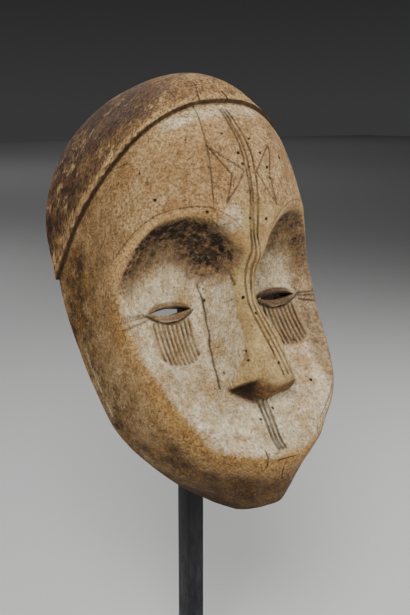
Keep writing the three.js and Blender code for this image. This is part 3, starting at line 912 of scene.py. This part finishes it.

# The nose's underside and the lip below it in painted shade, the comb fields, the lids and the
# hollow
colour = coat(colour, tone("5d3f26", (mottle, 0.42, 0.6, 1, "9a7449")), "under_nose")
colour = coat(colour, linear("2c1c11"), "nose_rim", of=0.75)
colour = coat(colour, linear("160e08"), "nose_shade", of=0.97)
colour = coat(colour, linear("3f2a19"), frayed("under_shadow", 0.05, 0.8))
colour = coat(colour, tone("987548", (patch, 0.42, 0.6, 1, "b8a07a")), "comb_field", of=0.8)
colour = coat(colour, linear("6b4f31"), "far_comb", of=share(patch, (0.35, 0.6, 0.25, 0.6)))
colour = coat(colour, tone("6e5336", (mottle, 0.42, 0.6, 1, "96795a")), "lid", of=0.9)
colour = coat(colour, linear("432f1d"), "far_lid", of=0.65)
# Painted shade, nearly black, along the top of each slit
colour = coat(colour, linear("1c150f"), "slit_edge", of=0.9)
colour = coat(colour, tone("4a3420", (grain, 0.4, 0.62, 1, "755533")), "inside")
# Painted shade on the face of the hood's step
colour = coat(colour, linear("20150d"), "hood_edge", of=0.85)

# Every cut, crack and hole painted dark, painted shade in the crease over each brow, and what is
# rubbed or stained beside them
for name, start, full, most in (
        ("deep_cut", 0.57, 0.82, 0.95), ("lip_cut", 0.42, 0.7, 0.92),
        ("comb_cut", 0.52, 0.78, 0.92), ("far_comb_cut", 0.5, 0.76, 0.95),
        # The crease over each brow band is darkened as painted shade
        ("lid_cut", 0.5, 0.8, 0.8), ("fine_cut", 0.62, 0.86, 0.75), ("crease", 0.62, 0.9, 0.6),
        ("foot_crack", 0.56, 0.82, 0.95), ("crack", 0.66, 0.9, 0.88),
        ("hood_crack", 0.54, 0.78, 0.95), ("worm_hole", 0.44, 0.62, 1.0)):
    colour = coat(colour, linear("1c130c"), name, (start, full, 0, most))
colour = coat(colour, linear("c9b794"), "rub", (0.3, 0.8, 0, 0.85),
              share(mottle, (0.38, 0.52, 0, 1)))
colour = coat(colour, linear("5a432d"), "foot_crack", (0.0, 0.7, 0, 1),
              share(mottle, (0.4, 0.6, 0.1, 0.7)))
colour = coat(colour, linear("33241a"), speck, (0.60, 0.67, 0, 0.8))

# Roughness too fine to be carved: grit, weaker on the kaolin and the nose, and fibres on the hood
gritty = share(wear, (0.42, 0.6, 0.65, 1.0), share("kaolin", (0.2, 1.0, 1.0, 0.65)))
gritty = share("nose_top", (0.2, 1.0, 1.0, 0.6), gritty)
rough = coat(linear("fafafa"), share(grit, (0.41, 0.59, 0.42, 1.48)), gritty)
rough = coat(rough, share(fibre, (0.42, 0.58, 0.28, 1.6)), "hood")
colour = node(tree, "ShaderNodeMix", {0: 1.0, 6: colour, 7: rough}, data_type="RGBA",
              blend_type="MULTIPLY").outputs[2]
relief = 0.0
for lies, height in ((grain, 0.35), (mottle, 0.4), (speck, 0.2)):
    relief = node(tree, "ShaderNodeMath", {0: lies, 1: height, 2: relief},
                  operation="MULTIPLY_ADD").outputs[0]
bump = node(tree, "ShaderNodeBump", {"Height": relief, "Strength": 1.0, "Distance": 0.003})
shader = node(tree, "ShaderNodeBsdfPrincipled", {
    "Base Color": colour, "Roughness": share(cloud, (0.3, 0.7, 0.62, 0.9)),
    "Normal": bump.outputs[0], "Specular IOR Level": 0.25})
node(tree, "ShaderNodeOutputMaterial", {"Surface": shader.outputs[0]})

mask.data.materials.clear()
mask.data.materials.append(carved_wood)
mask.data.polygons.foreach_set("use_smooth", [True] * len(mask.data.polygons))
mask.data.set_sharp_from_angle(angle=math.radians(42))
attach(mask, "root")
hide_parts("mask")


# The stand
# A square steel bar blackened with wax, welded on a plate, with a round knob that the crown rests
# on and a short stay behind the chin. The wax is a little uneven, with greyer scuffs at the foot.
steel = bpy.data.materials.new("blackened_steel")
steel.use_nodes = True
tree = steel.node_tree
tree.nodes.clear()
place = node(tree, "ShaderNodeTexCoord").outputs["Object"]
above_table = node(tree, "ShaderNodeSeparateXYZ", {0: place}).outputs["Z"]
scuffs = pattern(9, 8, 0.75, stretch=(1, 1, 0.35))
fine_scuffs = pattern(1.6, 4, 0.7)
scuffed = share(above_table, (0.19, 0.02, 0, 1), share(scuffs, (0.42, 0.62, 0, 1)))
colour = tone("0f0f11", (scuffs, 0.35, 0.7, 1, "232326"))
colour = coat(colour, linear("55565a"), scuffed, of=0.7)
bump = node(tree, "ShaderNodeBump", {
    "Height": fine_scuffs, "Strength": 0.25, "Distance": 0.0003})
shader = node(tree, "ShaderNodeBsdfPrincipled", {
    "Base Color": colour, "Metallic": 0.55, "Normal": bump.outputs[0],
    "Roughness": share(fine_scuffs, (0.3, 0.7, 0.38, 0.6))})
node(tree, "ShaderNodeOutputMaterial", {"Surface": shader.outputs[0]})


def bar(name, edge_mm):
    """A bar or plate of the CAD node's own size, its edges broken by a small chamfer."""
    start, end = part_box(name)
    body = bmesh.new()
    bmesh.ops.create_cube(body, size=1)
    for vert in body.verts:
        for k in range(3):
            vert.co[k] = start[k] if vert.co[k] < 0 else end[k]
    bmesh.ops.bevel(body, geom=list(body.edges), offset=edge_mm / 1000, segments=3, profile=0.5,
                    affect="EDGES")
    mesh = bpy.data.meshes.new(name + "_finished")
    body.to_mesh(mesh)
    body.free()
    return mesh


def knob_mesh(name):
    """The turned knob: a half round with a flat underside."""
    start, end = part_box(name)
    radius = (end[0] - start[0]) / 2
    middle = Vector(((start[0] + end[0]) / 2, (start[1] + end[1]) / 2, start[2]))
    body = bmesh.new()
    bmesh.ops.create_uvsphere(body, u_segments=48, v_segments=24, radius=radius)
    bmesh.ops.bisect_plane(body, geom=body.verts[:] + body.edges[:] + body.faces[:],
                           plane_co=(0, 0, 0), plane_no=(0, 0, -1), clear_outer=True)
    bmesh.ops.holes_fill(body, edges=[e for e in body.edges if e.is_boundary])
    bmesh.ops.translate(body, verts=body.verts, vec=middle)
    mesh = bpy.data.meshes.new(name + "_finished")
    body.to_mesh(mesh)
    body.free()
    return mesh


for name, mesh in (("stand_foot", bar("stand_foot", 0.8)), ("stand_post", bar("stand_post", 0.7)),
                   ("crown_knob", knob_mesh("crown_knob")), ("chin_arm", bar("chin_arm", 0.5))):
    piece = bpy.data.objects.new(name + "_finished", mesh)
    bpy.context.scene.collection.objects.link(piece)
    mesh.materials.append(steel)
    mesh.polygons.foreach_set("use_smooth", [True] * len(mesh.polygons))
    mesh.set_sharp_from_angle(angle=math.radians(40))
    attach(piece, "root")
    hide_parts(name)


# The studio
# Pale paper lies on a wide floor, in a dark room. Soft lamps light the mask from its right and
# above, and three more light the floor behind it, which fades into the dark.
FLOOR_HALF = 14
floor_mesh = bpy.data.meshes.new("floor")
floor_mesh.from_pydata([(x, y, 0) for x, y in (
    (-FLOOR_HALF, -FLOOR_HALF), (FLOOR_HALF, -FLOOR_HALF), (FLOOR_HALF, FLOOR_HALF),
    (-FLOOR_HALF, FLOOR_HALF))], [], [(0, 1, 2, 3)])
floor_piece = bpy.data.objects.new("floor", floor_mesh)
bpy.context.scene.collection.objects.link(floor_piece)
paper = bpy.data.materials.new("studio_paper")
paper.use_nodes = True
sheet = paper.node_tree.nodes["Principled BSDF"]
sheet.inputs["Base Color"].default_value = linear("c6c6c5")
sheet.inputs["Roughness"].default_value = 0.9
floor_mesh.materials.append(paper)

world = bpy.data.worlds.new("studio")
world.use_nodes = True
tree = world.node_tree
tree.nodes.clear()
direction = node(tree, "ShaderNodeTexCoord").outputs["Generated"]
upwards = node(tree, "ShaderNodeSeparateXYZ", {0: direction}).outputs["Z"]
wall = tone("3c3c3d", (upwards, 0.0, 0.11, 1, "303031"))
dim = node(tree, "ShaderNodeBackground", {"Color": wall, "Strength": 1.0})
node(tree, "ShaderNodeOutputWorld", {"Surface": dim.outputs[0]})
bpy.context.scene.world = world


def soft_light(name, place, size, power, target=(0, -0.05, 0.38)):
    """A square lamp, aimed at the middle of the mask unless it is told otherwise."""
    lamp = bpy.data.objects.new(name, bpy.data.lights.new(name, "AREA"))
    bpy.context.scene.collection.objects.link(lamp)
    lamp.location = place
    lamp.rotation_euler = (Vector(target) - Vector(place)).to_track_quat("-Z", "Y").to_euler()
    lamp.data.size = size
    lamp.data.energy = power


soft_light("key", (-0.8, -1.05, 1.35), 0.6, 32)
soft_light("front", (-0.4, -1.6, 0.6), 1.6, 4)
soft_light("fill", (1.35, -0.55, 0.8), 0.9, 17)
soft_light("top", (0.3, 0.6, 1.5), 1.0, 10)
soft_light("floor behind", (-0.4, 2.6, 1.3), 1.2, 12, (-0.2, 2.3, 0))
soft_light("far floor", (1.9, 6.6, 4), 3, 30, (1.9, 6.6, 0))
soft_light("end of the floor", (7.5, 11.5, 6), 6, 32, (7.5, 11.5, 0))

# The camera stands to the mask's right and a little above, as when the photograph was taken
eye_point = Vector((-0.4223, -0.6248, 0.5258))
looks_along = Vector((0.56104, 0.80125, -0.20791))
camera = bpy.data.objects.new("camera", bpy.data.cameras.new("camera"))
bpy.context.scene.collection.objects.link(camera)
camera.location = eye_point
camera.rotation_euler = looks_along.to_track_quat("-Z", "Y").to_euler()
camera.data.lens = 54.44
camera.data.sensor_width = 36
camera.data.clip_start = 0.01
bpy.context.scene.camera = camera

bpy.context.view_layer.update()
